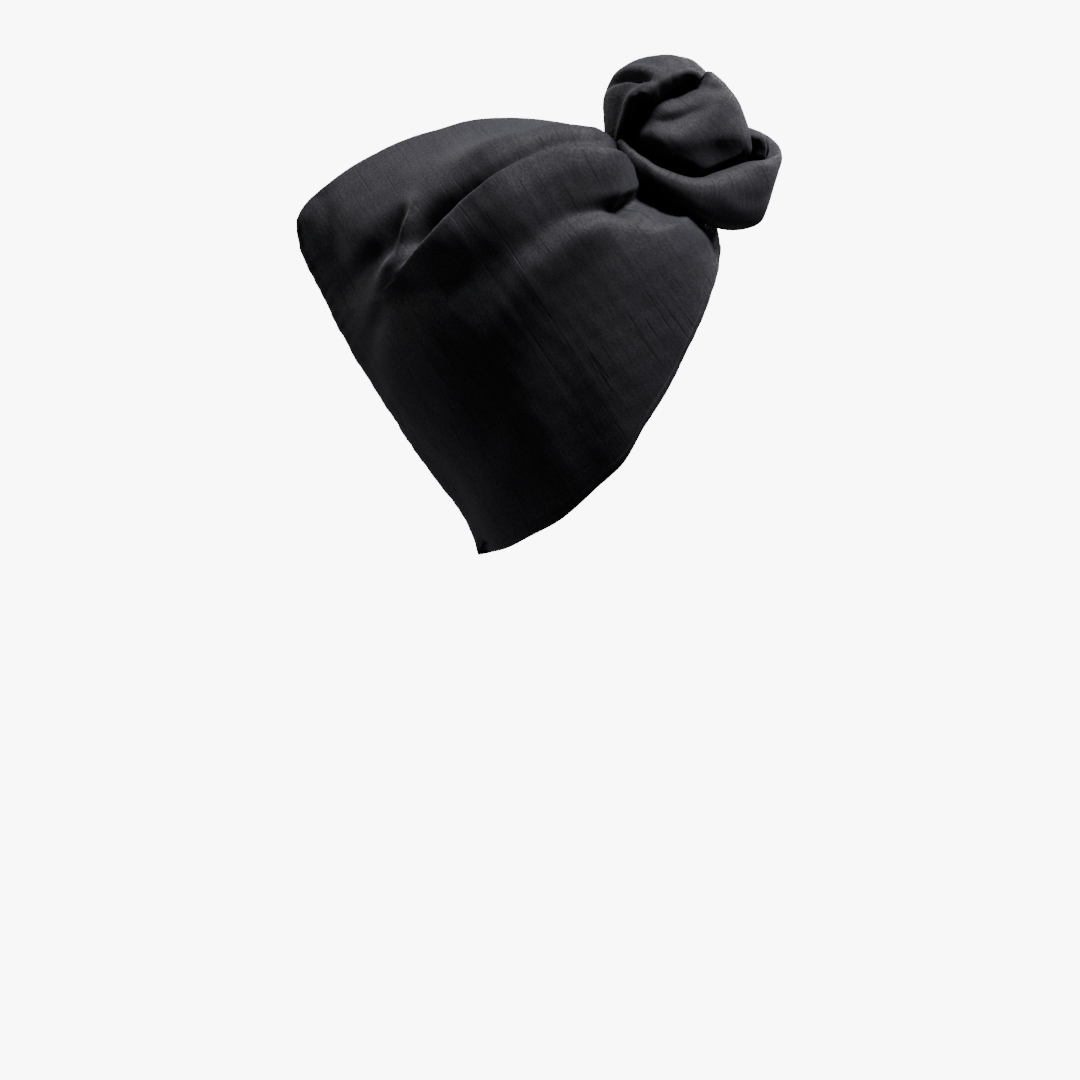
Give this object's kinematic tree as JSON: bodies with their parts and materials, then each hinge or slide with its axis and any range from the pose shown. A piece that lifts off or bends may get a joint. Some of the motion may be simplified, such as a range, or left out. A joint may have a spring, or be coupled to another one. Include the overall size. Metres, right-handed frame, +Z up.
{
  "type": "turban headwrap",
  "caption": "Soft black silk turban headwrap: a hollow cap folded to a back corner, open round the face, with pleats gathered into a puffed knot above the brow.",
  "frame": {"origin": "the point on the crown of the head, in the middle plane, where the worn wrap rests", "axes": "+X the way the wearer faces, +Y the wearer's left, +Z up"},
  "size_m": [0.2697, 0.1637, 0.2733],
  "materials": {
    "silk_cap": "black dupioni silk, plain weave with slubs and a soft dry sheen",
    "silk_knot": "black dupioni silk, plain weave with slubs and a soft dry sheen, wound and puffed"
  },
  "bodies": {
    "root": {"cap": "silk_cap", "knot_core": "silk_knot", "knot_dome": "silk_knot", "knot_back_loop": "silk_knot", "knot_front_band": "silk_knot", "knot_inner_tuck": "silk_knot", "knot_lower_tuck": "silk_knot"}
  },
  "joints": []
}
